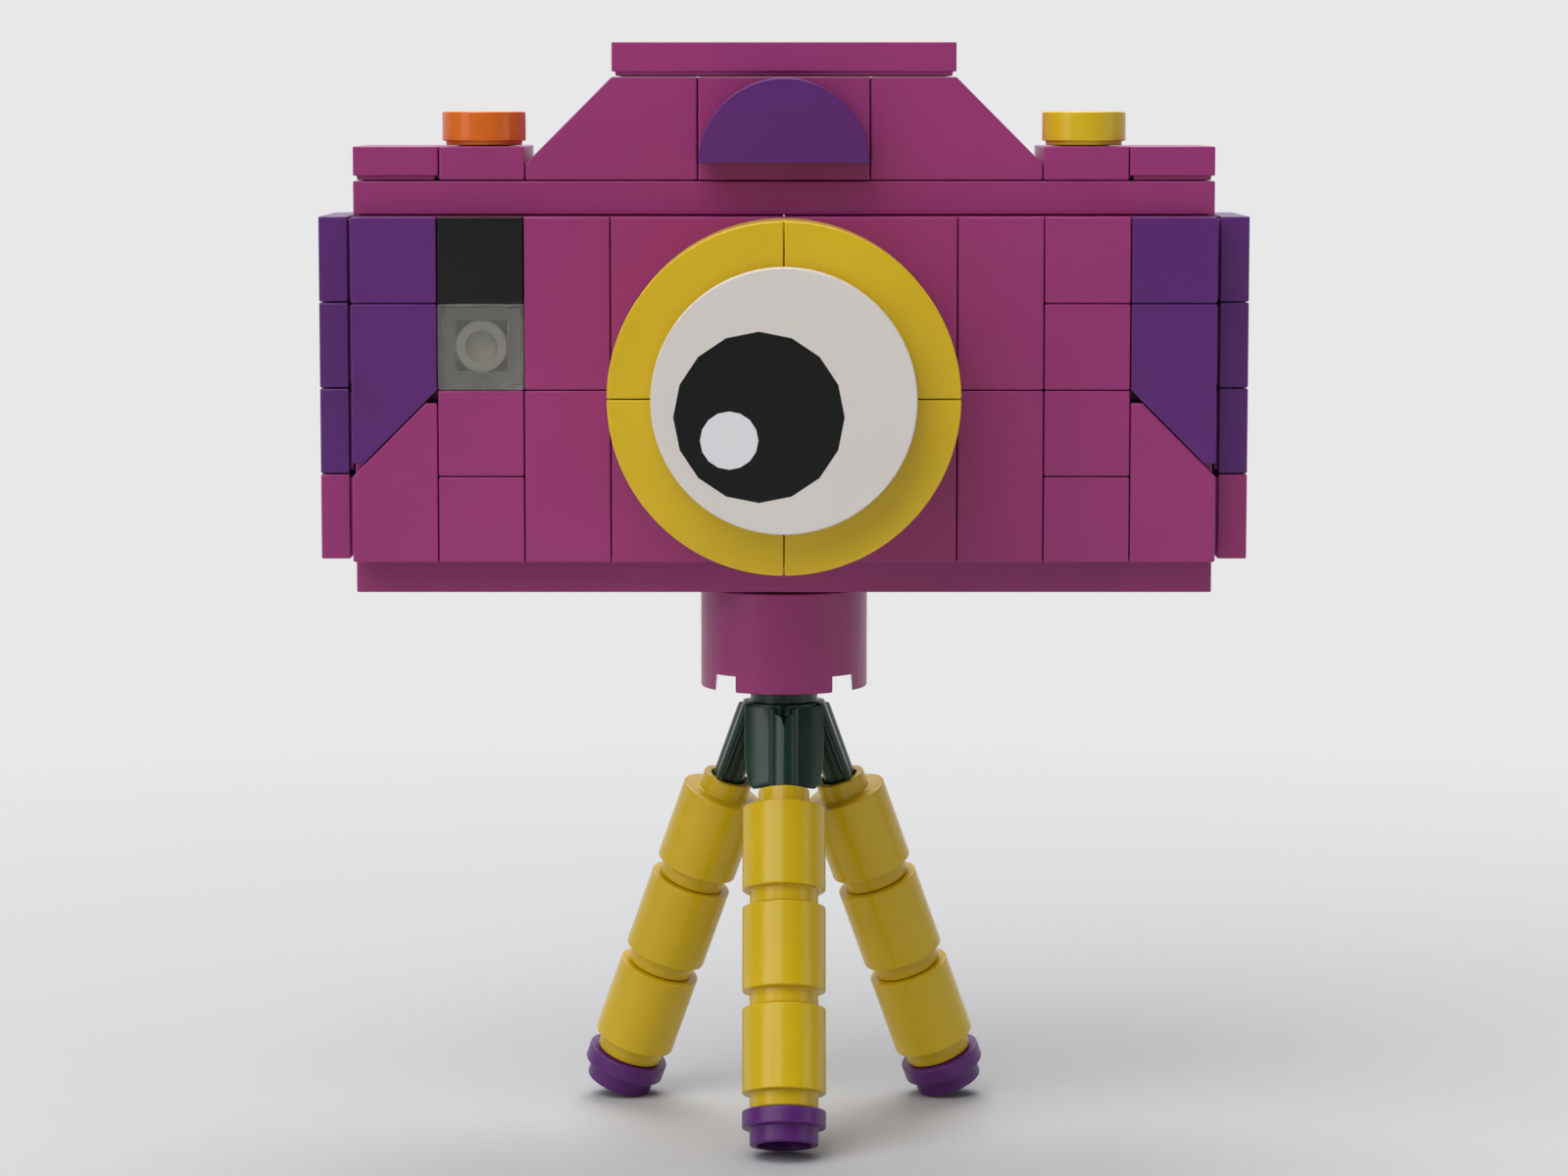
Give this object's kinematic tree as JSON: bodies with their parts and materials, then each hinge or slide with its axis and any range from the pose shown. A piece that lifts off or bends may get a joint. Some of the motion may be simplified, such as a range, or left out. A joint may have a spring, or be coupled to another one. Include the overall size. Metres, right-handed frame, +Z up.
{
  "type": "building block camera",
  "caption": "Toy camera built from interlocking blocks, with a turning round eye lens, a shutter button and a dial, panning on a small tripod.",
  "frame": {"origin": "on the standing surface, under the middle of the bounding box", "axes": "+Z up, -Y is the front with the lens, +X to the viewer's right as seen from the front"},
  "size_m": [0.0864, 0.0401, 0.1026],
  "materials": {
    "magenta": "semi-gloss moulded plastic",
    "purple": "semi-gloss moulded plastic",
    "yellow": "semi-gloss moulded plastic",
    "orange": "semi-gloss moulded plastic",
    "white": "semi-gloss moulded plastic",
    "black": "semi-gloss moulded plastic",
    "clear": "clear moulded plastic",
    "green": "semi-gloss moulded plastic"
  },
  "bodies": {
    "tripod_hub": {"tripod_hub": "green"},
    "camera_body": {"bottom_plate": "magenta", "core_frame": "magenta", "deck_plate_left": "magenta", "deck_plate_right": "magenta", "deck_tile_left": "magenta", "deck_tile_right": "magenta", "flank_left_1": "purple", "flank_left_2": "purple", "flank_left_3": "purple", "flank_left_4": "magenta", "flank_right_1": "purple", "flank_right_2": "purple", "flank_right_3": "purple", "flank_right_4": "magenta", "flash_tile": "clear", "hood_tile": "purple", "hump_brick": "magenta", "hump_tile": "magenta", "lens_barrel": "yellow", "neck": "magenta", "ring_tile_1": "yellow", "ring_tile_2": "yellow", "ring_tile_3": "yellow", "ring_tile_4": "yellow", "slope_left": "magenta", "slope_right": "magenta", "tile_corner_left": "purple", "tile_corner_right": "purple", "tile_cut_lower_left": "magenta", "tile_cut_lower_right": "magenta", "tile_cut_upper_left": "purple", "tile_cut_upper_right": "purple", "tile_inner_left_lower": "magenta", "tile_inner_left_upper": "magenta", "tile_inner_right_lower": "magenta", "tile_inner_right_upper": "magenta", "tile_left_3": "magenta", "tile_left_4": "magenta", "tile_right_1": "magenta", "tile_right_2": "magenta", "tile_right_3": "magenta", "tile_right_4": "magenta", "top_plate": "magenta", "window_tile": "black"},
    "eye_disc": {"eye_disc": "white"},
    "shutter_button": {"shutter_button": "orange"},
    "mode_dial": {"mode_dial": "yellow"},
    "leg_front": {"leg_front_1": "yellow", "leg_front_2": "yellow", "leg_front_3": "yellow", "foot_front": "purple"},
    "leg_left": {"leg_left_1": "yellow", "leg_left_2": "yellow", "leg_left_3": "yellow", "foot_left": "purple"},
    "leg_right": {"leg_right_1": "yellow", "leg_right_2": "yellow", "leg_right_3": "yellow", "foot_right": "purple"}
  },
  "joints": [
    {"name": "head_pan", "type": "hinge", "parent": "tripod_hub", "child": "camera_body", "pos_m": [0, 0.00714, 0.04176], "axis": [0, 0, 1], "continuous": true},
    {"name": "eye_spin", "type": "hinge", "parent": "camera_body", "child": "eye_disc", "pos_m": [0, -0.02006, 0.07056], "axis": [0, -1, 0], "continuous": true},
    {"name": "button_spin", "type": "hinge", "parent": "camera_body", "child": "shutter_button", "pos_m": [-0.028, 0.00314, 0.09616], "axis": [0, 0, 1], "continuous": true},
    {"name": "dial_spin", "type": "hinge", "parent": "camera_body", "child": "mode_dial", "pos_m": [0.028, 0.00314, 0.09616], "axis": [0, 0, 1], "continuous": true},
    {"name": "leg_front_spin", "type": "hinge", "parent": "tripod_hub", "child": "leg_front", "pos_m": [0, -0.00116, 0.02716], "axis": [0, 0.3746, 0.9272], "continuous": true},
    {"name": "leg_left_spin", "type": "hinge", "parent": "tripod_hub", "child": "leg_left", "pos_m": [-0.00719, 0.01129, 0.02716], "axis": [0.3244, -0.1873, 0.9272], "continuous": true},
    {"name": "leg_right_spin", "type": "hinge", "parent": "tripod_hub", "child": "leg_right", "pos_m": [0.00719, 0.01129, 0.02716], "axis": [-0.3244, -0.1873, 0.9272], "continuous": true}
  ]
}
